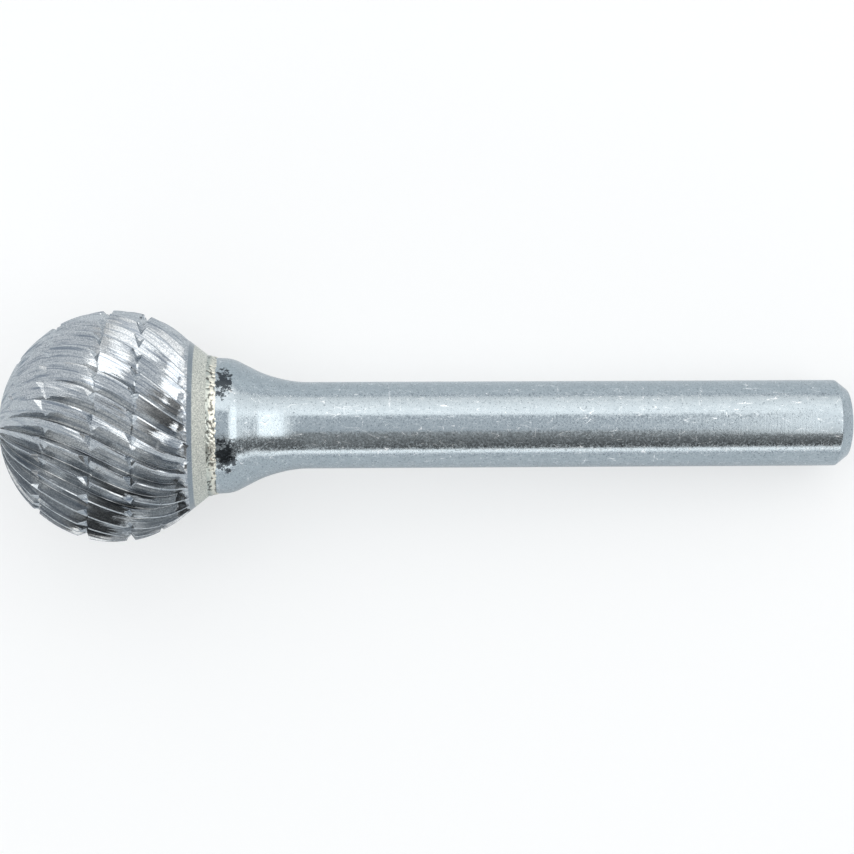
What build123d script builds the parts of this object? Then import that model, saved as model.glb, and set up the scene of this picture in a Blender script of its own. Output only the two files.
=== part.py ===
from build123d import *
import os
from math import asin, atan2, cos, hypot, radians, sin, tan

os.makedirs("parts", exist_ok=True)

# A ball-nosed carbide burr: a toothed carbide head brazed to a flared steel shank.
# All sizes are in millimetres and degrees. The burr lies on a flat surface, tip
# towards -X, resting on two neighbouring teeth and on the far end of its shank.
# A "station" is a distance from the tip along the burr's axis.

# Cutting head
ball_diameter = 16.0         # over the cutting edges
heel_radius = 7.0            # profile behind the widest section
back_cone_angle = 38.5       # smooth cone behind the teeth, from the axis
head_length = 14.35          # tip to the brazed back face

# Teeth: right-hand flutes that cut when the burr turns clockwise, seen from the shank
tooth_count = 29
tooth_height = 0.78          # gullet depth at the widest section
land_angle = 1.2             # narrow land behind each cutting edge, about the axis
rake_lean = 5.0              # slant of the rake face from the radial direction
lay_turn = 19.0              # turn of a flute from the tip to the widest section
lay_power = 1.77             # the turn grows with this power of the station
flute_tip_latitude = 9.0     # where the flutes fade out near the tip
flute_heel_latitude = 136.0  # where the flutes fade out on the back cone
tip_fade = 12.0              # latitude over which the flute floor rises at the tip
heel_fade = 20.0             # and at the heel
flute_overrun = 2.0          # latitude by which the cutter runs out past both ends
flute_sections = 12          # cross-sections along the flute
cutter_clearance = 0.26      # height of the flute cutter above the head's skin

# Chip breakers: a left-hand spiral of V notches across the cutting edges
notch_latitudes = (31.0, 55.0, 82.8, 105.5, 122.0)   # after each full turn
notch_start_turn = -196.0    # where the spiral crosses the first latitude
notch_depth_ratio = 0.60     # of the tooth height at that place
notch_front_angle = 50.0     # flank towards the tip, from the normal
notch_back_angle = 28.0      # steeper flank towards the shank
notch_lead = 0.1             # share of a pitch that the notch cutter stands before the edge
notch_reach = 0.7            # share of a pitch that it reaches down behind the edge

# Joint between head and shank
braze_gap = 0.12
spigot_diameter = 3.4
spigot_length = 3.0
spigot_chamfer = 0.3
fillet_width = 0.73          # braze fillet along the axis, behind the head

# Shank
overall_length = 59.0
shank_diameter = 6.0
seat_diameter = 9.4
seat_nose_diameter = 8.5
flare_station = 15.8         # where the seat would meet the flare in a sharp corner
flare_angle = 25.2           # flare from the axis
seat_edge_radius = 2.6
neck_radius = 7.5
end_chamfer_length = 0.9
end_chamfer_depth = 0.7
end_edge_radius = 0.3

# Radii and stations that follow from the sizes above
ball_radius = ball_diameter / 2
shank_radius = shank_diameter / 2
seat_radius = seat_diameter / 2
spigot_radius = spigot_diameter / 2
nose_radius = seat_nose_diameter / 2
nose_station = head_length + braze_gap
seat_station = nose_station + fillet_width
spigot_station = nose_station - spigot_length
socket_station = spigot_station - braze_gap
socket_radius = spigot_radius + braze_gap
chamfer_station = overall_length - end_chamfer_length
pitch = 360 / tooth_count


def turn_of_lay(station):
    """Turn of a flute at a station, from its place at the widest section."""
    return lay_turn * ((station / ball_radius) ** lay_power - 1)


def profile_point(latitude):
    """Station and radius of the head where its outline's normal makes this angle."""
    bow = ball_radius if latitude <= 90 else heel_radius
    station = ball_radius - bow * cos(radians(latitude))
    radius = ball_radius - bow + bow * sin(radians(latitude))
    return station, radius


# The back cone leaves the head's outline as a tangent
cone_station, cone_radius = profile_point(90 + back_cone_angle)
back_face_radius = cone_radius - (head_length - cone_station) * tan(radians(back_cone_angle))

# Resting pose. Two cutting edges straddle the lowest point of the ball, and their
# slant brings them closer to it than half the space between them.
clear_space = pitch - land_angle
edge_slant = atan2(radians(lay_turn) * lay_power, 1)
contact_angle = radians(clear_space / 2) * cos(edge_slant)
ball_height = ball_radius * cos(contact_angle)
reach = chamfer_station - ball_radius
lying_angle = asin(ball_height / hypot(reach, shank_radius)) - atan2(shank_radius, reach)

end_radius = shank_radius - end_chamfer_depth
front_end = -ball_radius
rear_end = (overall_length - ball_radius) * cos(lying_angle) + end_radius * sin(lying_angle)
ball_x = -(front_end + rear_end) / 2
axis_direction = Vector(cos(lying_angle), 0, -sin(lying_angle))
down_direction = Vector(-sin(lying_angle), 0, -cos(lying_angle))
ball_centre = Vector(ball_x, 0, ball_height)
tip = ball_centre - axis_direction * ball_radius

# The burr's own frame has its Z along the axis and its X towards the surface below
burr = Plane(origin=tip, x_dir=down_direction, z_dir=axis_direction)
burr_axis = Axis(tip, axis_direction)
# Outlines are drawn with X along the axis and Y outwards
outline = Plane(origin=tip, x_dir=axis_direction, z_dir=-burr.y_dir)

contact_station = ball_radius * (1 + sin(lying_angle))
first_edge_turn = (clear_space / 2) - turn_of_lay(contact_station)


def edge_plane(latitude, turn):
    """Plane on the head's skin: X points around it, Y outwards, Z towards the tip."""
    station, radius = profile_point(latitude)
    here = radians(turn)
    outwards = Vector(cos(here), sin(here), 0)
    around = Vector(-sin(here), cos(here), 0)
    normal = outwards * sin(radians(latitude)) - Vector(0, 0, 1) * cos(radians(latitude))
    return Plane(
        origin=outwards * radius + Vector(0, 0, station),
        x_dir=around,
        z_dir=around.cross(normal),
    )


def flute_rise(latitude):
    """Share of the tooth height by which the flute's floor has risen."""
    tip_share = (flute_tip_latitude + tip_fade - latitude) / tip_fade
    heel_share = (latitude - flute_heel_latitude + heel_fade) / heel_fade
    return max(tip_share, heel_share, 0) ** 2


def flute_corners(latitude):
    """Corners of the flute's cross-section, from the cutting edge of its tooth."""
    station, radius = profile_point(latitude)
    depth = tooth_height * radius / ball_radius
    lean = tan(radians(rake_lean))
    rise = depth * flute_rise(latitude)
    round_radius = radius / sin(radians(latitude))
    heel = radius * radians(clear_space) / round_radius
    heel_x = -round_radius * sin(heel)
    heel_y = -round_radius * (1 - cos(heel))
    floor_x = -depth * lean
    slope = (heel_x - floor_x) / (heel_y + depth)
    top = cutter_clearance
    return [
        ((top - rise) * lean, top),
        (floor_x, rise - depth),
        (floor_x + slope * (top - rise + depth), top),
    ]


# One flute, ground between two cutting edges
flute_start = flute_tip_latitude - flute_overrun
flute_step = (flute_heel_latitude + flute_overrun - flute_start) / (flute_sections - 1)
with BuildPart() as flute:
    for index in range(flute_sections):
        latitude = flute_start + flute_step * index
        station, radius = profile_point(latitude)
        turn = first_edge_turn + turn_of_lay(station)
        with BuildSketch(edge_plane(latitude, turn)):
            with BuildLine():
                Polyline(*flute_corners(latitude), close=True)
            make_face()
    loft()


def notch_latitude(turns):
    """Latitude of the chip-breaker spiral after so many turns."""
    lap = min(int(turns), len(notch_latitudes) - 2)
    start = notch_latitudes[lap]
    return start + (notch_latitudes[lap + 1] - start) * (turns - lap)


def notch_places():
    """Latitude and turn of each cutting edge where the spiral crosses it."""
    places = []
    laps = len(notch_latitudes) - 1
    for crossing in range((laps + 1) * tooth_count):
        edge = first_edge_turn - crossing * pitch
        turns = crossing / tooth_count
        for refinement in range(4):
            lay = turn_of_lay(profile_point(notch_latitude(turns))[0])
            turns = (notch_start_turn - edge - lay) / 360
        if 0 <= turns <= laps:
            places.append((notch_latitude(turns), edge + lay))
    return places


def chip_breaker(latitude, turn):
    """V-shaped prism that cuts one notch, across the edge and down the tooth's back."""
    station, radius = profile_point(latitude)
    tooth_pitch = radius * radians(pitch)
    depth = notch_depth_ratio * tooth_height * radius / ball_radius
    height = depth + cutter_clearance
    edge = edge_plane(latitude, turn)
    across = Plane(origin=edge.origin, x_dir=-edge.z_dir, z_dir=edge.x_dir)
    with BuildPart() as prism:
        with BuildSketch(across.offset(-notch_lead * tooth_pitch)):
            with BuildLine():
                Polyline(
                    (0, -depth),
                    (height * tan(radians(notch_back_angle)), cutter_clearance),
                    (-height * tan(radians(notch_front_angle)), cutter_clearance),
                    close=True,
                )
            make_face()
        extrude(amount=(notch_lead + notch_reach) * tooth_pitch)
    return prism.part


chip_breakers = [chip_breaker(latitude, turn) for latitude, turn in notch_places()]

# Carbide head
with BuildPart(burr) as carbide_head:
    with BuildSketch(outline):
        with BuildLine():
            CenterArc((ball_radius, 0), ball_radius, 90, 90)
            heel_centre = (ball_radius, ball_radius - heel_radius)
            CenterArc(heel_centre, heel_radius, 90 - back_cone_angle, back_cone_angle)
            Polyline(
                (cone_station, cone_radius),
                (head_length, back_face_radius),
                (head_length, socket_radius),
                (socket_station, socket_radius),
                (socket_station, 0),
                (0, 0),
            )
        make_face()
    revolve(axis=burr_axis)
    with PolarLocations(0, tooth_count):
        add(flute.part, mode=Mode.SUBTRACT)
    with Locations((0, 0)):
        add(chip_breakers, mode=Mode.SUBTRACT)
carbide_head.part.label = "carbide_head"
export_step(carbide_head.part, "parts/carbide_head.step")

# The steel's front corners, which the braze follows from the spigot to the seat
spigot_corners = [
    (spigot_station, 0),
    (spigot_station, spigot_radius - spigot_chamfer),
    (spigot_station + spigot_chamfer, spigot_radius),
    (nose_station, spigot_radius),
    (nose_station, nose_radius),
    (seat_station, seat_radius),
]

# Braze between head and shank: a film round the spigot and a fillet outside
with BuildPart(burr) as braze_joint:
    with BuildSketch(outline):
        with BuildLine():
            Polyline(
                (head_length, back_face_radius),
                (head_length, socket_radius),
                (socket_station, socket_radius),
                (socket_station, 0),
                *spigot_corners,
                close=True,
            )
        make_face()
    revolve(axis=burr_axis)
braze_joint.part.label = "braze_joint"
export_step(braze_joint.part, "parts/braze_joint.step")

# Steel shank: spigot, seat, flare, plain shank and chamfered end
flare_end = flare_station + (seat_radius - shank_radius) / tan(radians(flare_angle))
with BuildPart(burr) as steel_shank:
    with BuildSketch(outline) as shank_outline:
        with BuildLine():
            Polyline(
                *spigot_corners,
                (flare_station, seat_radius),
                (flare_end, shank_radius),
                (chamfer_station, shank_radius),
                (overall_length, end_radius),
                (overall_length, 0),
                close=True,
            )
        make_face()
        corners = shank_outline.vertices()
        fillet(corners.sort_by_distance((flare_station, seat_radius))[0], seat_edge_radius)
        fillet(corners.sort_by_distance((flare_end, shank_radius))[0], neck_radius)
        fillet(corners.sort_by_distance((overall_length, end_radius))[0], end_edge_radius)
    revolve(axis=burr_axis)
steel_shank.part.label = "steel_shank"
export_step(steel_shank.part, "parts/steel_shank.step")
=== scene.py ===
# %% [markdown]
# # A carbide burr on a pale studio table
# The tool is a ball of hard tungsten carbide with ground teeth, brazed onto a bright
# steel shank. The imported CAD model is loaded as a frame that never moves. Each
# visible piece is then rebuilt around it with finer edges, and given a finish that is
# worked out from the burr's own axis.

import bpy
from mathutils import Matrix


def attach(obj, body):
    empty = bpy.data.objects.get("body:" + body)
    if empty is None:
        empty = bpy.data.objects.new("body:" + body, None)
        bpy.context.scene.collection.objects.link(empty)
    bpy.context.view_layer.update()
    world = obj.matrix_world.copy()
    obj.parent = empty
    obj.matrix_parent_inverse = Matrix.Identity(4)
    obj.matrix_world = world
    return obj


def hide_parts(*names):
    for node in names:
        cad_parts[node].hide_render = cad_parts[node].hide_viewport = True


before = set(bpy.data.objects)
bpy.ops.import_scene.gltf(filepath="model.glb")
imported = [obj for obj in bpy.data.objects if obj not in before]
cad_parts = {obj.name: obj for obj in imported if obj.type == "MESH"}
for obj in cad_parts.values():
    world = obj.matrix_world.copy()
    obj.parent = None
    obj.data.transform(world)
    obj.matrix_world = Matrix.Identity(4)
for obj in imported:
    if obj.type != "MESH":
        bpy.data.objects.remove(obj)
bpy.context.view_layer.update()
print("CAD nodes:", sorted(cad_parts))

# %% [markdown]
# ## Tools
# Blender works in metres, and every size here is given in millimetres. Colours are read
# off as sRGB hex codes, while the renderer needs linear values.

# %% Tools and units
import random
from math import asin, atan2, cos, degrees, pi, radians, sin, tan

import bmesh
import bpy
from mathutils import Matrix, Vector, noise

MM = 0.001


def linear_colour(hex_code, alpha=1.0):
    """Linear RGBA of an sRGB hex colour."""
    parts = [int(hex_code[i:i + 2], 16) / 255 for i in (1, 3, 5)]
    return tuple(
        c / 12.92 if c <= 0.04045 else ((c + 0.055) / 1.055) ** 2.4 for c in parts
    ) + (alpha,)


def add_node(material, kind, sockets=None, **settings):
    """Adds a node: settings are its own properties, sockets hold values or other outputs."""
    tree = material.node_tree
    node = tree.nodes.new(kind)
    for name, value in settings.items():
        setattr(node, name, value)
    for name, value in (sockets or {}).items():
        if isinstance(value, bpy.types.NodeSocket):
            tree.links.new(value, node.inputs[name])
        else:
            node.inputs[name].default_value = value
    return node


# %% [markdown]
# ## The burr's own axis
# The burr lies with its shank sloping down to the table, so neither its axis nor its
# patterns line up with the world. One rotation about Y and one place, the tip, carry
# every piece and every pattern from millimetres along the axis to where the CAD has it.

# %% Tip and axis
lying_angle = radians(5.712072)
tip = Vector((-29.448119, 0.0, 8.767762)) * MM
burr_turn = (0.0, radians(90) + lying_angle, 0.0)
burr_matrix = (
    Matrix.Translation(tip)
    @ Matrix.Rotation(burr_turn[1], 4, "Y")
    @ Matrix.Scale(MM, 4)
)
print("axis:", [round(c, 4) for c in burr_matrix.to_3x3().col[2].normalized()])


def burr_coordinates(material):
    """Object coordinates in millimetres, with Z along the burr's axis from its tip."""
    place = add_node(material, "ShaderNodeTexCoord")
    return add_node(
        material,
        "ShaderNodeMapping",
        {"Vector": place.outputs["Object"], "Location": tip, "Rotation": burr_turn,
         "Scale": (MM, MM, MM)},
        vector_type="TEXTURE",
    ).outputs["Vector"]


# %% [markdown]
# ## The camera
# The photograph looks almost straight down on the burr from a little off its middle.
# The long lens keeps the shank's sides parallel. Depth of field stays off.

# %% Camera
lens_mm = 96.6
camera = bpy.data.objects.new("camera", bpy.data.cameras.new("camera"))
camera.data.lens = lens_mm
camera.data.sensor_width = 36
camera.data.clip_start = 0.01
camera.location = Vector((8.0, -0.202, 165.18)) * MM
camera.rotation_euler = (0.0, radians(2.904), radians(-0.289))
bpy.context.scene.collection.objects.link(camera)
bpy.context.scene.camera = camera
bpy.context.scene.view_settings.view_transform = "Standard"
print("camera", [round(c / MM, 1) for c in camera.location], "mm, lens", lens_mm, "mm")

# %% [markdown]
# ## The light
# A polished rod shows its surroundings as stripes along its length, so the stripes in
# the photograph tell where the lamps stood. A pale room gives the flat grey-blue, a big
# softbox beyond the burr gives the broad white stripe, a dark card on the near side gives
# the black one, and a narrow strip low down gives the thin bright line. Each is a curved
# panel about the world's X axis that the camera can't see.

# %% Room
world = bpy.data.worlds.new("pale room")
bpy.context.scene.world = world
world.use_nodes = True
sky = world.node_tree.nodes["Background"]
sky.inputs["Color"].default_value = linear_colour("#eff4f9")
sky.inputs["Strength"].default_value = 0.85
# the camera itself sees white where there is no table, as in the photo
white = add_node(world, "ShaderNodeBackground", {"Color": linear_colour("#fcfdfd")})
seen = add_node(world, "ShaderNodeLightPath")
either = add_node(
    world, "ShaderNodeMixShader",
    {0: seen.outputs["Is Camera Ray"], 1: sky.outputs[0], 2: white.outputs[0]},
)
world.node_tree.links.new(
    either.outputs[0], world.node_tree.nodes["World Output"].inputs["Surface"]
)


# %% Panels
end_glow = 0.7      # brightness of a panel's two ends, close to the room's


def panel(name, start, end, strength, far_strength=None, side=0.0, length=1200, radius=500):
    """Glowing panel curved about X, between two angles from the zenith towards +Y.

    Its middle stands at X = side. Its light runs from strength to far_strength across the
    panel, and goes over softly to end_glow at both ends. Lengths are in millimetres.
    """
    shape = bmesh.new()
    ends = [shape.verts.new((side + sign * length / 2, 0, radius)) for sign in (-1, 1)]
    edge = shape.edges.new(ends)
    bmesh.ops.rotate(
        shape, verts=ends, cent=(0, 0, 0), matrix=Matrix.Rotation(radians(-start), 3, "X")
    )
    bmesh.ops.spin(
        shape, geom=ends + [edge], cent=(0, 0, 0), axis=(1, 0, 0),
        angle=radians(start - end), steps=24,
    )
    bmesh.ops.transform(shape, matrix=Matrix.Scale(MM, 4), verts=shape.verts)
    mesh = bpy.data.meshes.new(name)
    shape.to_mesh(mesh)
    shape.free()
    material = bpy.data.materials.new(name)
    material.use_nodes = True
    material.node_tree.nodes.clear()
    place = add_node(material, "ShaderNodeTexCoord")
    split = add_node(material, "ShaderNodeSeparateXYZ", {0: place.outputs["Object"]})
    angle = add_node(
        material, "ShaderNodeMath",
        {0: split.outputs["Y"], 1: split.outputs["Z"]}, operation="ARCTAN2",
    )
    fade = add_node(
        material, "ShaderNodeMapRange",
        {"Value": angle.outputs[0], "From Min": radians(start), "From Max": radians(end),
         "To Min": strength, "To Max": strength if far_strength is None else far_strength},
    )
    from_middle = add_node(
        material, "ShaderNodeMath", {0: split.outputs["X"], 1: side * MM}, operation="SUBTRACT"
    )
    away = add_node(
        material, "ShaderNodeMath", {0: from_middle.outputs[0]}, operation="ABSOLUTE"
    )
    soft_end = add_node(
        material, "ShaderNodeMapRange",
        {"Value": away.outputs[0], "From Min": 0.5 * length * MM,
         "From Max": 0.38 * length * MM, "To Min": end_glow, "To Max": fade.outputs["Result"]},
        interpolation_type="SMOOTHSTEP",
    )
    glow = add_node(
        material, "ShaderNodeEmission",
        {"Color": linear_colour("#fdfdfc"), "Strength": soft_end.outputs["Result"]},
    )
    add_node(material, "ShaderNodeOutputMaterial", {"Surface": glow.outputs[0]})
    mesh.materials.append(material)
    thing = bpy.data.objects.new(name, mesh)
    bpy.context.scene.collection.objects.link(thing)
    thing.visible_camera = False


panel("softbox", 26, 80, 1.9, 1.2, side=260, length=1280)
# white blocks on the teeth
panel("top_softbox", -13, 22, 2.3, side=-305, length=320)
panel("low_softbox", -20, -34, 1.5, side=-800, length=700, radius=480)
# white patch on the flare
panel("far_softbox", -30, 38, 2.2, side=445, length=480, radius=480)
# black stripe of the shank, and some dark facets of the head
panel("dark_card", -18, -69, 0.42, 0.08, side=480, length=1100)
panel("side_card", -46, -54, 0.3, side=-420, length=500)
panel("strip_light", -69, -80, 2.0, side=200, length=1500)

# %% [markdown]
# ## The table
# A plain matt sheet under the burr, four metres wide, catches its soft shadow.

# %% Table
shape = bmesh.new()
bmesh.ops.create_grid(shape, x_segments=1, y_segments=1, size=2.0)
mesh = bpy.data.meshes.new("table")
shape.to_mesh(mesh)
shape.free()
table_top = bpy.data.objects.new("table", mesh)
bpy.context.scene.collection.objects.link(table_top)

# matt white laminate: no gloss, so all it shows is light and shadow
matt_white = bpy.data.materials.new("matt white laminate")
matt_white.use_nodes = True
matt_white.node_tree.nodes.clear()
rays = add_node(matt_white, "ShaderNodeLightPath")
paper = add_node(matt_white, "ShaderNodeBsdfDiffuse", {"Color": linear_colour("#dfe3e6")})
seen_paper = add_node(matt_white, "ShaderNodeBsdfDiffuse", {"Color": linear_colour("#f6f7f8")})
lift = add_node(matt_white, "ShaderNodeEmission", {"Color": linear_colour("#fcfdfd")})
# the photo's ground is burnt out to white, so the camera sees the shadow at half strength,
# and no shading further out, where the sheet runs into the white of the room
fade_from, fade_to = 60 * MM, 350 * MM
white_share = 0.55
place = add_node(matt_white, "ShaderNodeTexCoord")
reach = add_node(
    matt_white, "ShaderNodeVectorMath", {0: place.outputs["Object"]}, operation="LENGTH"
)
share = add_node(
    matt_white, "ShaderNodeMapRange",
    {"Value": reach.outputs["Value"], "From Min": fade_from, "From Max": fade_to,
     "To Min": white_share, "To Max": 1.0},
)
lifted = add_node(
    matt_white, "ShaderNodeMixShader",
    {0: share.outputs["Result"], 1: seen_paper.outputs[0], 2: lift.outputs[0]},
)
mixed = add_node(
    matt_white, "ShaderNodeMixShader",
    {0: rays.outputs["Is Camera Ray"], 1: paper.outputs[0], 2: lifted.outputs[0]},
)
add_node(matt_white, "ShaderNodeOutputMaterial", {"Surface": mixed.outputs[0]})
table_top.data.materials.append(matt_white)

# %% [markdown]
# ## Making pieces
# Each piece is drawn in millimetres in the burr's own frame, and carried to its place
# in the last step, so that its object stays at the origin. Creases are marked where
# two faces meet at more than a set angle, and all other faces are shaded smooth.


# %% From a drawn shape to a piece
def finish_piece(shape, name, node, crease=22.0):
    """Turns a shape's faces outwards, carries it to its place and hands it over as a piece."""
    bmesh.ops.recalc_face_normals(shape, faces=shape.faces)
    for face in shape.faces:
        face.smooth = True
    for edge in shape.edges:
        edge.smooth = edge.calc_face_angle(0) < radians(crease)
    bmesh.ops.transform(shape, matrix=burr_matrix, verts=shape.verts)
    mesh = bpy.data.meshes.new(name)
    shape.to_mesh(mesh)
    shape.free()
    piece = bpy.data.objects.new(name, mesh)
    bpy.context.scene.collection.objects.link(piece)
    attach(piece, "root")
    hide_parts(node)
    mesh.calc_loop_triangles()
    print(name, len(mesh.loop_triangles), "triangles")
    return piece


def spin_outline(shape, outline, steps):
    """Spins an outline of (station, radius) points, already in the shape, about the axis."""
    bmesh.ops.spin(
        shape, geom=outline, cent=(0, 0, 0), axis=(0, 0, 1), angle=2 * pi,
        steps=steps, use_merge=True,
    )
    bmesh.ops.remove_doubles(shape, verts=shape.verts, dist=1e-4)


def draw_outline(shape, points):
    """Joins (station, radius) points into a chain of edges in the shape."""
    chain = [shape.verts.new((radius, 0, station)) for station, radius in points]
    for first, second in zip(chain, chain[1:]):
        shape.edges.new((first, second))
    return chain


# %% [markdown]
# ## The steel shank
# On the real tool the shank is turned and ground from one bar: a seat for the head, a
# flare, a long plain shank and a chamfered end. A lathe part is an outline spun about
# its axis. The corners are drawn sharp and then rounded with a vertex bevel, whose
# segments keep the long reflections smooth.

# %% Steel shank
# (station, radius) of the corners
shank_outline = [
    (14.47, 0.0), (14.47, 4.2), (14.95, 4.71), (16.08, 4.655), (19.31, 3.0), (58.1, 3.0),
    (59.0, 2.3), (59.0, 0.0),
]
# corner: (how far the round reaches along each side, segments)
corner_rounds = {3: (0.46, 10), 4: (1.82, 24), 5: (0.07, 4), 6: (0.16, 5)}
round_steps = 192
shape = bmesh.new()
chain = draw_outline(shape, shank_outline)
for corner, (offset, segments) in corner_rounds.items():
    bmesh.ops.bevel(
        shape, geom=[chain[corner]], offset=offset, offset_type="OFFSET", segments=segments,
        profile=0.5, affect="VERTICES", material=-1,
    )
spin_outline(shape, shape.verts[:] + shape.edges[:], round_steps)
steel = finish_piece(shape, "steel_body", "steel_shank")

# %% [markdown]
# ## The braze
# Silver braze ran out of the joint and froze as a ring of small beads. A ring with a
# fine skin is spun first. Then each vertex is pushed outwards by a bead of its own
# cell, so the beads are real shapes that catch the light one by one.

# %% Braze ring
braze_outline = [
    (14.36, 4.2), (14.33, 4.88), (14.95, 4.72), (15.16, 4.6), (15.1, 4.2), (14.36, 4.2),
]
hidden_radius = 4.4     # the skin outside this is beaded
bead_size = 0.23
bead_height = 0.085
bead_reach = 0.72       # radius of a bead, in cells
least_bead = 0.35       # shares of the height: the smallest bead, what the slow swell
bead_swell = 0.9        # adds to it, and how far the gaps sink
gap_sink = 0.35
shape = bmesh.new()
chain = draw_outline(shape, braze_outline)
skin = [e for e in shape.edges if min(v.co.x for v in e.verts) > 4.5]
bmesh.ops.subdivide_edges(shape, edges=skin, cuts=11)
spin_outline(shape, shape.verts[:] + shape.edges[:], 640)
bmesh.ops.recalc_face_normals(shape, faces=shape.faces)
shape.normal_update()
bead_layer = shape.verts.layers.float.new("bead")
for vert in shape.verts:
    if vert.co.xy.length < hidden_radius:
        continue
    nearest = noise.voronoi(vert.co / bead_size, distance_metric="DISTANCE")[0][0]
    bead = max(0.0, 1 - (nearest / bead_reach) ** 2) ** 0.5
    swell = noise.noise(vert.co * 0.9) * 0.5 + 0.5
    # the beads flatten towards both rims of the ring
    edge_fade = min(1.0, (vert.co.z - 14.3) / 0.25, (15.17 - vert.co.z) / 0.12)
    height = bead * (least_bead + bead_swell * swell) - gap_sink
    vert.co += vert.normal * (bead_height * height * max(0.0, edge_fade))
    vert[bead_layer] = bead
braze = finish_piece(shape, "braze_ring", "braze_joint", crease=80)

# %% [markdown]
# ## The toothed head
# The head is one ball of sintered carbide whose flutes were ground by a thin wheel
# along a curved lay, and whose cutting edges were then nicked along a spiral to break
# the chips. There are 29 flutes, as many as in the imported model. One is drawn as a short
# chain of edges and extruded row by row from the tip to the heel. It is repeated around
# the ball, and each nick is cut with three planes before its skin is pressed down into
# the V.

# %% Head sizes
ball_radius = 8.0
heel_radius = 7.0
back_cone = 38.5
head_length = 14.35
tooth_count = 29
tooth_height = 0.78
pitch = 360 / tooth_count
land_angle = 1.0
rake_lean = 5.0
first_edge_turn = 2.132413      # lets the burr rest on two edges
lay_turn = 19.0
lay_power = 1.77
# latitudes, counted in degrees from the tip, where the flutes' floor rises to the skin
fade_start = 9.0
fade_end = 136.5
tip_fade = 12.0
heel_fade = 4.0


def turn_of_lay(station):
    """Turn of a flute at a station, in degrees, from its place at the widest section."""
    return lay_turn * ((station / ball_radius) ** lay_power - 1)


def skin_point(latitude):
    """Station, radius and slope of the head's skin, on the ball, the heel or the cone."""
    bow = ball_radius if latitude <= 90 else heel_radius
    turn = radians(min(latitude, 90 + back_cone))
    station = ball_radius - bow * cos(turn)
    radius = ball_radius - bow + bow * sin(turn)
    past = heel_radius * tan(radians(max(0.0, latitude - 90 - back_cone)))
    return station - past * cos(turn + pi / 2), radius + past * sin(turn + pi / 2), turn


def skin_frame(latitude, turn):
    """Frame on the skin: X around the burr, Y outwards, Z towards the tip."""
    station, radius, slope = skin_point(latitude)
    outwards = Vector((cos(radians(turn)), sin(radians(turn)), 0))
    around = Vector((-sin(radians(turn)), cos(radians(turn)), 0))
    normal = outwards * sin(slope) - Vector((0, 0, 1)) * cos(slope)
    place = outwards * radius + Vector((0, 0, station))
    frame_matrix = Matrix((around, normal, around.cross(normal))).transposed().to_4x4()
    return Matrix.Translation(place) @ frame_matrix


def flute_depth(latitude):
    """Depth of the flute's floor below the skin."""
    radius = skin_point(latitude)[1]
    tip_share = (fade_start + tip_fade - latitude) / tip_fade
    heel_share = (latitude - fade_end + heel_fade) / heel_fade
    rise = min(1, max(tip_share, heel_share, 0)) ** 2
    return tooth_height * radius / ball_radius * (1 - rise)


print("teeth:", tooth_count, "pitch", round(pitch, 2), "degrees")

# %% One flute
# where the points of the tooth's back stand, on the way from the land to the floor
back_steps = (0.0, 0.04, 0.2, 0.4, 0.6, 0.8, 0.93, 1.0)
# how deep each point of the whole chain stands, as a share of the depth
floor_shares = (0.0, 0.0) + back_steps + (0.97, 0.16, 0.0, 0.0)
edge_round = 0.022      # how blunt a cutting edge is, in millimetres


def flute_chain(latitude):
    """Points across one pitch, from one cutting edge to the next, in the next one's frame."""
    _, radius, slope = skin_point(latitude)
    round_radius = radius / sin(slope)
    depth = flute_depth(latitude)
    reach = radius * radians(pitch) / round_radius
    heel = radius * radians(pitch - land_angle) / round_radius

    def on_skin(angle):
        return Vector((-round_radius * sin(angle), -round_radius * (1 - cos(angle)), 0))

    floor = Vector((-depth * tan(radians(rake_lean)) - 0.02 * depth, -depth, 0))
    land_end = on_skin(heel)
    blunt = min(edge_round, 0.2 * depth)
    faded = 1 - depth / (tooth_height * radius / ball_radius)
    land = [on_skin(reach) + Vector((0, -0.4 * blunt, 0)), on_skin(reach - blunt / round_radius)]
    back = [
        land_end.lerp(floor, step).lerp(on_skin(heel * (1 - step)), faded) for step in back_steps
    ]
    rake = [
        floor + Vector((0.05 * depth, 0.03 * depth, 0)),
        Vector((-0.02 * depth, -0.16 * depth, 0)),
        Vector((0, -blunt * 1.4, 0)),
        Vector((0, -0.4 * blunt, 0)),
    ]
    return land + back + rake


first_row = 4.0         # latitudes of the rows
row_step = 1.25
row_count = 107
rows = [first_row + row_step * i for i in range(row_count)]
shape = bmesh.new()
# millimetres across and along the flute and below the skin, for the wheel's marks
place_layer = shape.verts.layers.float_vector.new("flute_place")
fall_layer = shape.verts.layers.float.new("fall")
latitude_layer = shape.verts.layers.float.new("latitude")


def lay_row(verts, latitude):
    """Puts a row of vertices on the flute's cross-section, bent along a latitude circle."""
    station, radius, slope = skin_point(latitude)
    turn = first_edge_turn + turn_of_lay(station)
    round_radius = radius / sin(slope)
    for vert, point, share in zip(verts, flute_chain(latitude), floor_shares):
        swing = asin(point.x / round_radius)
        height = point.y + round_radius * (1 - cos(swing))
        section = skin_frame(latitude, turn + degrees(swing * round_radius / radius))
        vert.co = section @ Vector((0, height, 0))
        vert[place_layer] = (point.x, radians(latitude) * ball_radius, point.y)
        vert[fall_layer] = share * flute_depth(latitude)
        vert[latitude_layer] = latitude


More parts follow.
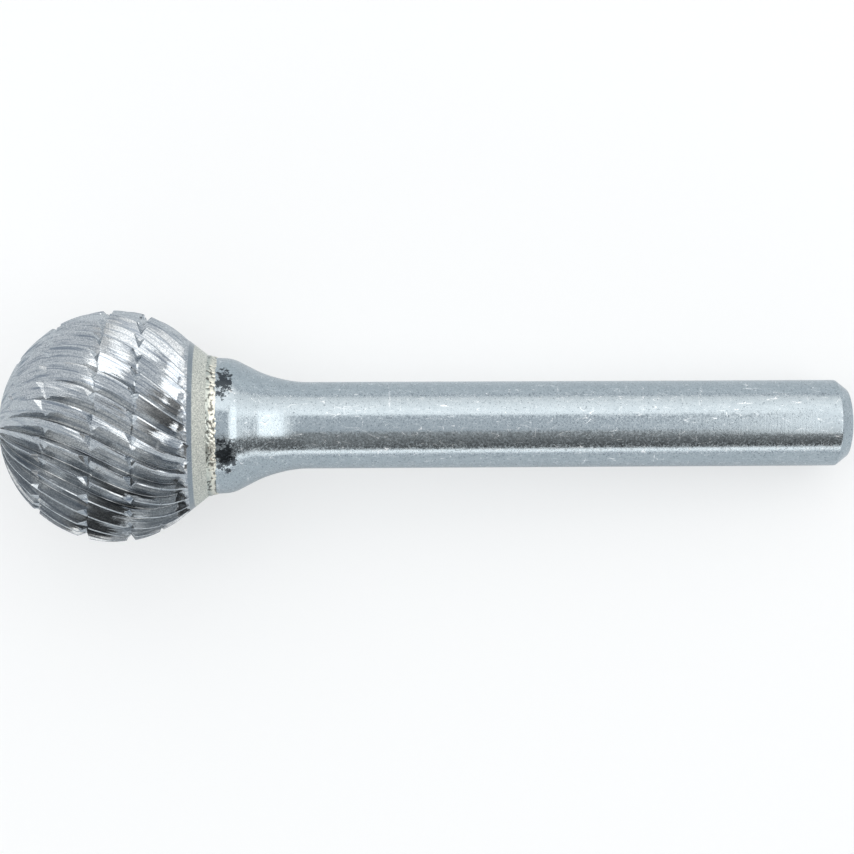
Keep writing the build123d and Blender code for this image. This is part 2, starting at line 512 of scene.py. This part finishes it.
row_verts = [shape.verts.new() for _ in flute_chain(rows[0])]
row_edges = [shape.edges.new(pair) for pair in zip(row_verts, row_verts[1:])]
lay_row(row_verts, rows[0])
for latitude in rows[1:]:
    made = bmesh.ops.extrude_edge_only(shape, edges=row_edges)["geom"]
    fresh = [g for g in made if isinstance(g, bmesh.types.BMVert)]
    row_edges = [g for g in made if isinstance(g, bmesh.types.BMEdge)
                 and all(v in fresh for v in g.verts)]
    # put the new vertices in the order of the old ones along the chain
    ends = {v: [e for e in row_edges if v in e.verts] for v in fresh}
    first = next(v for v in fresh if len(ends[v]) == 1
                 and any(e.other_vert(v) is row_verts[0] for e in v.link_edges))
    ordered = [first]
    while len(ordered) < len(fresh):
        step = next(e.other_vert(ordered[-1]) for e in ends[ordered[-1]]
                    if e.other_vert(ordered[-1]) not in ordered)
        ordered.append(step)
    row_verts = ordered
    lay_row(row_verts, latitude)
print("one flute:", len(shape.faces), "faces")

# %% [markdown]
# ### Nicks
# The nicks follow one left-hand spiral. Each crosses a cutting edge as a V with a long
# flank towards the tip and a steep one towards the shank. The stretch of tooth between
# two nicks was ground in one pass, so each gets a slightly different depth, and
# the light on it jumps at the nicks as it does on the real tool.

# %% Where the spiral crosses the edges
notch_latitudes = (31.0, 55.0, 82.8, 105.5, 122.0)      # after each full turn
notch_start_turn = -196.0


def notch_latitude(turns):
    """Latitude of the spiral of nicks after so many turns."""
    lap = min(int(turns), len(notch_latitudes) - 2)
    start, end = notch_latitudes[lap:lap + 2]
    return start + (end - start) * (turns - lap)


notches = {tooth: [] for tooth in range(tooth_count)}
laps = len(notch_latitudes) - 1
for crossing in range((laps + 1) * tooth_count):
    edge_turn = first_edge_turn - crossing * pitch
    turns = crossing / tooth_count
    for _ in range(4):
        lay = turn_of_lay(skin_point(notch_latitude(turns))[0])
        turns = (notch_start_turn - edge_turn - lay) / 360
    if 0 <= turns <= laps:
        notches[-crossing % tooth_count].append((notch_latitude(turns), edge_turn + lay))
print("crossings:", sum(len(places) for places in notches.values()))

# %% All flutes
dice = random.Random(11)
pass_range = (-0.07, 0.05)      # of the depth, shallower or deeper
tooth_shift = 4.0               # keeps the wheel's marks of two teeth apart
strip = shape.verts[:] + shape.edges[:] + shape.faces[:]
strips = {0: [f for f in strip if isinstance(f, bmesh.types.BMFace)]}
for tooth in range(1, tooth_count):
    copy = bmesh.ops.duplicate(shape, geom=strip)["geom"]
    verts = [g for g in copy if isinstance(g, bmesh.types.BMVert)]
    strips[tooth] = [g for g in copy if isinstance(g, bmesh.types.BMFace)]
    bmesh.ops.rotate(
        shape, verts=verts, cent=(0, 0, 0), matrix=Matrix.Rotation(radians(pitch * tooth), 3, "Z")
    )
    for vert in verts:
        vert[place_layer] += Vector((0, 0, tooth_shift * tooth))
for tooth, faces in strips.items():
    stops = sorted(latitude for latitude, _ in notches[(tooth - 1) % tooth_count])
    passes = [dice.uniform(*pass_range) for _ in range(len(stops) + 1)]
    for vert in {v for f in faces for v in f.verts}:
        latitude = vert[latitude_layer]
        extra = passes[sum(stop < latitude for stop in stops)] * vert[fall_layer]
        slope = skin_point(latitude)[2]
        outwards = Vector((vert.co.x, vert.co.y, 0)).normalized()
        vert.co -= (outwards * sin(slope) - Vector((0, 0, 1)) * cos(slope)) * extra
bmesh.ops.remove_doubles(shape, verts=shape.verts, dist=1e-4)
print("all flutes:", len(shape.faces), "faces")

# %% Cut the nicks
notch_share = 0.6               # of the tooth's height
last_full_notch = 112.0         # the nicks grow shallower between these latitudes
last_notch = 121.0
notch_lead = 0.12               # shares of a pitch, before and behind the edge
notch_reach = 0.8
front_slope = tan(radians(50))
back_slope = tan(radians(28))


def cut_notch(tooth, latitude, turn):
    """Cuts one V across a cutting edge, with three planes, and presses its skin down."""
    section = skin_frame(latitude, turn)
    into = section.inverted()
    radius = skin_point(latitude)[1]
    width = radians(pitch) * radius
    wear = min(1.0, (last_notch - latitude) / (last_notch - last_full_notch))
    depth = wear * notch_share * tooth_height * radius / ball_radius

    def holds(point):
        """Whether a face with this middle can meet the V."""
        return (-0.2 * width < point.x < 0.85 * width and abs(point.y) < 1.2
                and -0.3 - depth * 1.3 < -point.z < 0.3 + depth * 0.8)

    near = list({f for t in (tooth, tooth + 1) for f in strips[t % tooth_count]
                 if f.is_valid and holds(into @ f.calc_center_median())})
    part = near + list({e for f in near for e in f.edges})
    part += list({v for f in near for v in f.verts})
    bottom = section @ Vector((0, -depth, 0))
    turn_only = section.to_3x3()
    for plane in (Vector((0, 0, 1)), Vector((0, back_slope, 1)), Vector((0, front_slope, -1))):
        part = bmesh.ops.bisect_plane(
            shape, geom=part, dist=1e-5, plane_co=bottom, plane_no=turn_only @ plane
        )["geom"]
    outwards = section.col[1].to_3d()
    for vert in (g for g in part if isinstance(g, bmesh.types.BMVert)):
        point = into @ vert.co
        along = -point.z
        floor = -depth + (along / back_slope if along > 0 else -along / front_slope)
        if floor < point.y and -notch_lead * width < point.x < notch_reach * width:
            vert.co += outwards * (floor - point.y)
    strips[tooth] += [g for g in part if isinstance(g, bmesh.types.BMFace)]


# the last few, at the heel, would be nearly flat and aren't cut
for tooth, places in notches.items():
    for latitude, turn in places:
        if latitude < last_notch - 1:
            cut_notch(tooth, latitude, turn)
print("with nicks:", len(shape.faces), "faces")

# %% [markdown]
# ### Spacing
# The cutting edges traced in the photograph stand about 11.4 degrees apart on the side
# seen, where 29 even teeth give 12.4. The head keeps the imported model's 29 teeth. A small
# swing of each vertex about the axis only brings the edges that show nearer to their
# places in the photograph. It says nothing about the real tooth count, and it is zero at
# the table, where the burr rests on two teeth.

# %% Swing of the visible edges
# degrees, at the side and at the top
side_swing = 4.6
top_swing = 1.5
for vert in shape.verts:
    turn = atan2(vert.co.y, vert.co.x)
    swing = radians(side_swing * sin(turn) + top_swing * (1 - cos(turn)) / 2)
    vert.co.rotate(Matrix.Rotation(swing, 3, "Z"))

# %% [markdown]
# ### Heel and tip
# Behind the flutes the head ends in a smooth cone and a flat back face. Its open rim is
# extruded ring by ring. Two close rings at each end of the cone keep its shading even.

# %% Heel, back face and tip
# (station, radius) of each ring
heel_rings = (
    (13.45, 5.6088), (13.48, 5.5849), (14.33, 4.9088), (14.35, 4.893), (14.35, 4.1),
)
heel_edges = [e for e in shape.edges if e.is_boundary and e.verts[0].co.z > 13]
for station, radius in heel_rings:
    made = bmesh.ops.extrude_edge_only(shape, edges=heel_edges)["geom"]
    fresh = {g for g in made if isinstance(g, bmesh.types.BMVert)}
    heel_edges = [
        g for g in made if isinstance(g, bmesh.types.BMEdge) and fresh.issuperset(g.verts)
    ]
    for vert in fresh:
        flat = vert.co.xy.normalized() * radius
        vert.co = (flat.x, flat.y, station)
# the tip and the back face each close in a pole
for station in (0.0, head_length):
    rim = [e for e in shape.edges if e.is_boundary and abs(e.verts[0].co.z - station) < 0.05]
    made = bmesh.ops.extrude_edge_only(shape, edges=rim)["geom"]
    for vert in (g for g in made if isinstance(g, bmesh.types.BMVert)):
        vert.co = (0, 0, station)
bmesh.ops.remove_doubles(shape, verts=shape.verts, dist=1e-4)
bmesh.ops.holes_fill(shape, edges=[e for e in shape.edges if e.is_boundary])
print("open edges:", sum(e.is_boundary for e in shape.edges))
head = finish_piece(shape, "toothed_head", "carbide_head", crease=14)

# %% [markdown]
# ## The finishes
# All three are metals. What tells them apart is colour, and how the surface was left:
# polished by a diamond wheel, frozen from a melt, or turned and ground. The patterns are
# drawn in millimetres along the burr's axis, or along each flute.


# %% Tools for the finishes
def new_finish(name):
    """Metal material, its shader, and the burr's coordinates for its patterns."""
    material = bpy.data.materials.new(name)
    material.use_nodes = True
    shader = material.node_tree.nodes["Principled BSDF"]
    shader.inputs["Metallic"].default_value = 1.0
    return material, shader, burr_coordinates(material)


def set_shader(material, shader, **sockets):
    """Links or sets the shader's inputs; an underscore stands for a space."""
    for name, value in sockets.items():
        socket = shader.inputs[name.replace("_", " ")]
        if isinstance(value, bpy.types.NodeSocket):
            material.node_tree.links.new(value, socket)
        else:
            socket.default_value = value


def patch_mask(material, place, centre, size, ragged):
    """One inside a ragged oval patch, given in the burr's coordinates, and zero outside."""
    local = add_node(
        material, "ShaderNodeMapping", {"Vector": place, "Location": centre, "Scale": size},
        vector_type="TEXTURE",
    )
    torn = add_node(
        material, "ShaderNodeTexNoise",
        {"Vector": place, "Scale": 2.2, "Detail": 5.0, "Roughness": 0.7},
    )
    reach = add_node(
        material, "ShaderNodeVectorMath", {0: local.outputs[0]}, operation="LENGTH"
    )
    edge = add_node(
        material, "ShaderNodeMath",
        {0: torn.outputs[0], 1: ragged, 2: reach.outputs["Value"]}, operation="MULTIPLY_ADD",
    )
    return add_node(
        material, "ShaderNodeMapRange",
        {"Value": edge.outputs[0], "From Min": 1.0 + ragged / 2 + 0.15,
         "From Max": 1.0 + ragged / 2 - 0.15},
        interpolation_type="SMOOTHSTEP",
    ).outputs["Result"]


# %% [markdown]
# ### Ground tungsten carbide
# The flutes were ground by a fine diamond wheel, so they are mirror-like, with faint
# lines along each flute and the fine grain of the carbide. Behind the flutes a band was
# ground round, and the last band was never ground: it is matt and beige, as sintered.

# %% Ground tungsten carbide
# a hard grey mirror, darker than steel, with streaks that follow the wheel
carbide, shader, place = new_finish("ground tungsten carbide")
station = add_node(carbide, "ShaderNodeSeparateXYZ", {0: place}).outputs["Z"]
# carbide grain, drawn coarser than the real 0.001 mm: what shows is light on clusters
grain = add_node(
    carbide, "ShaderNodeTexNoise",
    {"Vector": place, "Scale": 1 / 0.10, "Detail": 4.0, "Roughness": 0.7},
).outputs[0]
clusters = add_node(
    carbide, "ShaderNodeMapRange", {"Value": grain, "From Min": 0.34, "From Max": 0.66},
).outputs["Result"]
# wheel marks 0.16 mm apart and 4 mm long, along the flute: real ones are ten times finer
flute = add_node(carbide, "ShaderNodeAttribute", attribute_name="flute_place")
along = add_node(
    carbide, "ShaderNodeMapping",
    {"Vector": flute.outputs["Vector"], "Scale": (1 / 0.16, 1 / 4.0, 1 / 0.16)},
)
lines = add_node(
    carbide, "ShaderNodeTexNoise",
    {"Vector": along.outputs[0], "Scale": 1.0, "Detail": 3.0, "Roughness": 0.6},
).outputs[0]
# the wheel's slower sway, which bends the light on a flute from place to place
long_sway = add_node(
    carbide, "ShaderNodeMapping",
    {"Vector": flute.outputs["Vector"], "Scale": (1 / 0.9, 1 / 3.5, 1 / 0.9)},
)
sway = add_node(
    carbide, "ShaderNodeTexNoise", {"Vector": long_sway.outputs[0], "Scale": 1.0, "Detail": 2.0},
).outputs[0]
# the flutes end at 13.14 mm from the tip, and the band that was ground round at 13.46 mm
sintered = add_node(
    carbide, "ShaderNodeMapRange", {"Value": station, "From Min": 13.42, "From Max": 13.50},
).outputs["Result"]
turned = add_node(
    carbide, "ShaderNodeMapRange", {"Value": station, "From Min": 13.12, "From Max": 13.16},
).outputs["Result"]
fluted = add_node(
    carbide, "ShaderNodeMapRange",
    {"Value": station, "From Min": 13.12, "From Max": 13.16, "To Min": 1.0, "To Max": 0.0},
).outputs["Result"]
grey = add_node(
    carbide, "ShaderNodeMix",
    {0: clusters, 6: linear_colour("#a0a6ab"), 7: linear_colour("#e2e5e7")}, data_type="RGBA",
).outputs[2]
dark_lines = add_node(
    carbide, "ShaderNodeMapRange",
    {"Value": lines, "From Min": 0.48, "From Max": 0.66, "To Max": 0.75},
).outputs["Result"]
# painted shade: the rake face and the floor of each flute, just before each cutting edge, are
# darkened towards a brownish grey for the shade deep in the gullet
across = add_node(carbide, "ShaderNodeSeparateXYZ", {0: flute.outputs["Vector"]}).outputs["X"]
rake = add_node(
    carbide, "ShaderNodeMapRange",
    {"Value": across, "From Min": -0.14, "From Max": -0.07, "To Max": 0.4},
).outputs["Result"]
lined = add_node(
    carbide, "ShaderNodeMix", {0: dark_lines, 6: grey, 7: linear_colour("#768290")},
    data_type="RGBA",
).outputs[2]
# the painted gullet shade is mixed into the ground carbide's colour here
gullet_shade_painted = add_node(
    carbide, "ShaderNodeMix", {0: rake, 6: lined, 7: linear_colour("#5a554d")},
    data_type="RGBA",
).outputs[2]
dull = add_node(
    carbide, "ShaderNodeMix",
    {0: grain, 6: linear_colour("#4f5b66"), 7: linear_colour("#bcc5cb")}, data_type="RGBA",
).outputs[2]
band = add_node(
    carbide, "ShaderNodeMix", {0: turned, 6: gullet_shade_painted, 7: dull}, data_type="RGBA",
).outputs[2]
beige = add_node(
    carbide, "ShaderNodeMix",
    {0: clusters, 6: linear_colour("#a4a8a2"), 7: linear_colour("#f4f4ec")}, data_type="RGBA",
).outputs[2]
colour = add_node(
    carbide, "ShaderNodeMix", {0: sintered, 6: band, 7: beige}, data_type="RGBA",
).outputs[2]
polish = add_node(
    carbide, "ShaderNodeMapRange",
    {"Value": grain, "From Min": 0.3, "From Max": 0.75, "To Min": 0.06, "To Max": 0.16},
).outputs["Result"]
roughness = add_node(
    carbide, "ShaderNodeMix", {0: sintered, 2: polish, 3: 0.55}, data_type="FLOAT",
).outputs[0]
wheel_marks = add_node(
    carbide, "ShaderNodeBump", {"Height": lines, "Strength": fluted, "Distance": 0.010 * MM},
)
swayed = add_node(
    carbide, "ShaderNodeBump",
    {"Height": sway, "Strength": fluted, "Distance": 0.06 * MM,
     "Normal": wheel_marks.outputs[0]},
)
pitted = add_node(
    carbide, "ShaderNodeBump",
    {"Height": grain, "Strength": sintered, "Distance": 0.06 * MM, "Normal": swayed.outputs[0]},
)
set_shader(carbide, shader, Base_Color=colour, Roughness=roughness, Normal=pitted.outputs[0])
head.data.materials.append(carbide)

# %% [markdown]
# ### Silver braze
# Silver solder freezes in bright grains. Beside the carbide they are dull and greenish
# from flux; towards the steel they are clean, yellowish and bright, with dark flux in
# the gaps and a few rusty specks.

# %% Silver braze
# a melt that froze: soft bright beads, and dark flux between them
silver, shader, place = new_finish("silver braze")
station = add_node(silver, "ShaderNodeSeparateXYZ", {0: place}).outputs["Z"]
bead = add_node(silver, "ShaderNodeAttribute", attribute_name="bead").outputs["Fac"]
speckle = add_node(
    silver, "ShaderNodeTexNoise",
    {"Vector": place, "Scale": 1 / 0.35, "Detail": 4.0, "Roughness": 0.7},
).outputs[0]
clean = add_node(
    silver, "ShaderNodeMapRange", {"Value": station, "From Min": 14.5, "From Max": 14.75},
).outputs["Result"]
solder = add_node(
    silver, "ShaderNodeMix",
    {0: clean, 6: linear_colour("#bdc2bb"), 7: linear_colour("#e4e2d6")}, data_type="RGBA",
).outputs[2]
rusty = add_node(
    silver, "ShaderNodeMapRange",
    {"Value": speckle, "From Min": 0.63, "From Max": 0.68, "To Max": 0.7},
).outputs["Result"]
stained = add_node(
    silver, "ShaderNodeMix", {0: rusty, 6: solder, 7: linear_colour("#9a7350")},
    data_type="RGBA",
).outputs[2]
gap = add_node(
    silver, "ShaderNodeMapRange",
    {"Value": bead, "From Min": 0.5, "From Max": 0.15, "To Max": 0.8},
).outputs["Result"]
colour = add_node(
    silver, "ShaderNodeMix", {0: gap, 6: stained, 7: linear_colour("#3b3a36")},
    data_type="RGBA",
).outputs[2]
set_shader(silver, shader, Base_Color=colour, Roughness=0.3)
braze.data.materials.append(silver)

# %% [markdown]
# ### Ground steel
# Steel ground between centres keeps fine marks round its girth, which blur the
# reflections along the shank. Use has added short scratches, specks and a scuffed end;
# brazing left two dark heat stains on the seat.

# %% Ground steel
# bright metal with soft-edged reflections, dulled by fine marks, flecks and wear
ground_steel, shader, place = new_finish("ground steel")
# marks round the girth, drawn 0.12 mm apart: real ones are finer than the photo's pixels
round_marks = add_node(
    ground_steel, "ShaderNodeMapping", {"Vector": place, "Scale": (0.35, 0.35, 1 / 0.12)},
)
marks = add_node(
    ground_steel, "ShaderNodeTexNoise",
    {"Vector": round_marks.outputs[0], "Scale": 1.0, "Detail": 4.0, "Roughness": 0.65},
).outputs[0]
haze = add_node(
    ground_steel, "ShaderNodeTexNoise",
    {"Vector": place, "Scale": 1 / 0.5, "Detail": 6.0, "Roughness": 0.75},
).outputs[0]
fleck = add_node(
    ground_steel, "ShaderNodeTexNoise",
    {"Vector": place, "Scale": 1 / 0.13, "Detail": 3.0, "Roughness": 0.7},
).outputs[0]
# short scratches: thin ridges of a stretched noise, where a slow noise allows them
slanted = add_node(
    ground_steel, "ShaderNodeMapping",
    {"Vector": place, "Rotation": (0.0, 0.3, 0.9), "Scale": (1.2, 1.2, 0.35)},
)
ridge = add_node(
    ground_steel, "ShaderNodeTexNoise",
    {"Vector": slanted.outputs[0], "Scale": 2.0, "Detail": 0.0},
).outputs[0]
from_ridge = add_node(
    ground_steel, "ShaderNodeMath", {0: ridge, 1: 0.5}, operation="SUBTRACT"
)
thin = add_node(
    ground_steel, "ShaderNodeMath", {0: from_ridge.outputs[0]}, operation="ABSOLUTE"
)
scratch = add_node(
    ground_steel, "ShaderNodeMapRange",
    {"Value": thin.outputs[0], "From Min": 0.012, "From Max": 0.004},
).outputs["Result"]
allowed = add_node(
    ground_steel, "ShaderNodeMapRange", {"Value": haze, "From Min": 0.50, "From Max": 0.56},
).outputs["Result"]
rubbed = add_node(
    ground_steel, "ShaderNodeMapRange", {"Value": marks, "From Min": 0.63, "From Max": 0.70},
).outputs["Result"]
both = add_node(
    ground_steel, "ShaderNodeMath", {0: scratch, 1: rubbed}, operation="MAXIMUM"
).outputs[0]
scratches = add_node(
    ground_steel, "ShaderNodeMath", {0: both, 1: allowed}, operation="MULTIPLY"
).outputs[0]
rough_fleck = add_node(
    ground_steel, "ShaderNodeMapRange", {"Value": fleck, "From Min": 0.50, "From Max": 0.62},
).outputs["Result"]
# heat stains on the seat, beyond and before the middle, and the scuffed end
stain_far = patch_mask(ground_steel, place, (-3.56, 2.99, 15.5), (1.0, 0.95, 0.5), 5.0)
stain_near = patch_mask(ground_steel, place, (-4.1, -2.15, 15.7), (1.0, 1.2, 0.6), 5.0)
stains = add_node(
    ground_steel, "ShaderNodeMath", {0: stain_far, 1: stain_near}, operation="MAXIMUM"
).outputs[0]
scuff = patch_mask(ground_steel, place, (-3.0, 0.3, 57.4), (1.5, 0.9, 0.9), 6.0)
steel_colour = add_node(
    ground_steel, "ShaderNodeMix",
    {0: haze, 6: linear_colour("#9da8af"), 7: linear_colour("#c3ccd1")}, data_type="RGBA",
).outputs[2]
dark_fleck = add_node(
    ground_steel, "ShaderNodeMapRange",
    {"Value": fleck, "From Min": 0.44, "From Max": 0.30, "To Max": 0.8},
).outputs["Result"]
flecked = add_node(
    ground_steel, "ShaderNodeMix",
    {0: dark_fleck, 6: steel_colour, 7: linear_colour("#59636b")}, data_type="RGBA",
).outputs[2]
# real scratches and rubbed marks, painted near white as a painted glint, since they show bright
# where they catch the light
scratched_with_painted_glint = add_node(
    ground_steel, "ShaderNodeMix", {0: scratches, 6: flecked, 7: linear_colour("#eef1f3")},
    data_type="RGBA",
).outputs[2]
sooty = add_node(
    ground_steel, "ShaderNodeMix", {0: stains, 6: scratched_with_painted_glint, 7: linear_colour("#474d52")},
    data_type="RGBA",
).outputs[2]
smooth = add_node(
    ground_steel, "ShaderNodeMapRange",
    {"Value": haze, "From Min": 0.3, "From Max": 0.7, "To Min": 0.11, "To Max": 0.20},
).outputs["Result"]
spoilt = add_node(
    ground_steel, "ShaderNodeMath", {0: rough_fleck, 1: scratches}, operation="MAXIMUM"
).outputs[0]
worn = add_node(
    ground_steel, "ShaderNodeMath", {0: scuff, 1: spoilt}, operation="MAXIMUM"
).outputs[0]
roughness = add_node(
    ground_steel, "ShaderNodeMix", {0: worn, 2: smooth, 3: 0.36}, data_type="FLOAT",
).outputs[0]
round_relief = add_node(
    ground_steel, "ShaderNodeBump", {"Height": marks, "Strength": 1.0, "Distance": 0.0035 * MM},
)
fine_relief = add_node(
    ground_steel, "ShaderNodeBump",
    {"Height": fleck, "Strength": 1.0, "Distance": 0.0035 * MM,
     "Normal": round_relief.outputs[0]},
)
set_shader(
    ground_steel, shader, Base_Color=sooty, Roughness=roughness, Normal=fine_relief.outputs[0]
)
steel.data.materials.append(ground_steel)
